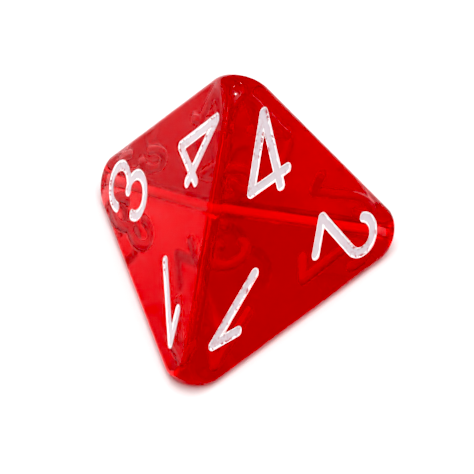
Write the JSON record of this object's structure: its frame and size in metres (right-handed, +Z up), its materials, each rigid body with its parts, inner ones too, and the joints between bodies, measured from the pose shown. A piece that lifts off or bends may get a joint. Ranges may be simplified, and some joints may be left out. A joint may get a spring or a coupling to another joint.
{
  "type": "four-sided die",
  "caption": "Tetrahedral gaming die moulded in transparent red plastic, with engraved numerals filled with white paint.",
  "frame": {"origin": "centre of the face that the die rests on", "axes": "+Z up through the top corner (4), -Y towards the front corner (1), +X towards the right-hand corner (2)"},
  "size_m": [0.018, 0.0161, 0.0149],
  "materials": {
    "red_plastic": "polished transparent plastic",
    "white_paint": "dried paint, slightly satin"
  },
  "bodies": {
    "root": {"die_body": "red_plastic", "numeral_4_front_right": "white_paint", "numeral_2_front_right": "white_paint", "numeral_1_front_right": "white_paint", "numeral_4_front_left": "white_paint", "numeral_1_front_left": "white_paint", "numeral_3_front_left": "white_paint", "numeral_4_back": "white_paint", "numeral_3_back": "white_paint", "numeral_2_back": "white_paint", "numeral_1_base": "white_paint", "numeral_2_base": "white_paint", "numeral_3_base": "white_paint"}
  },
  "joints": []
}
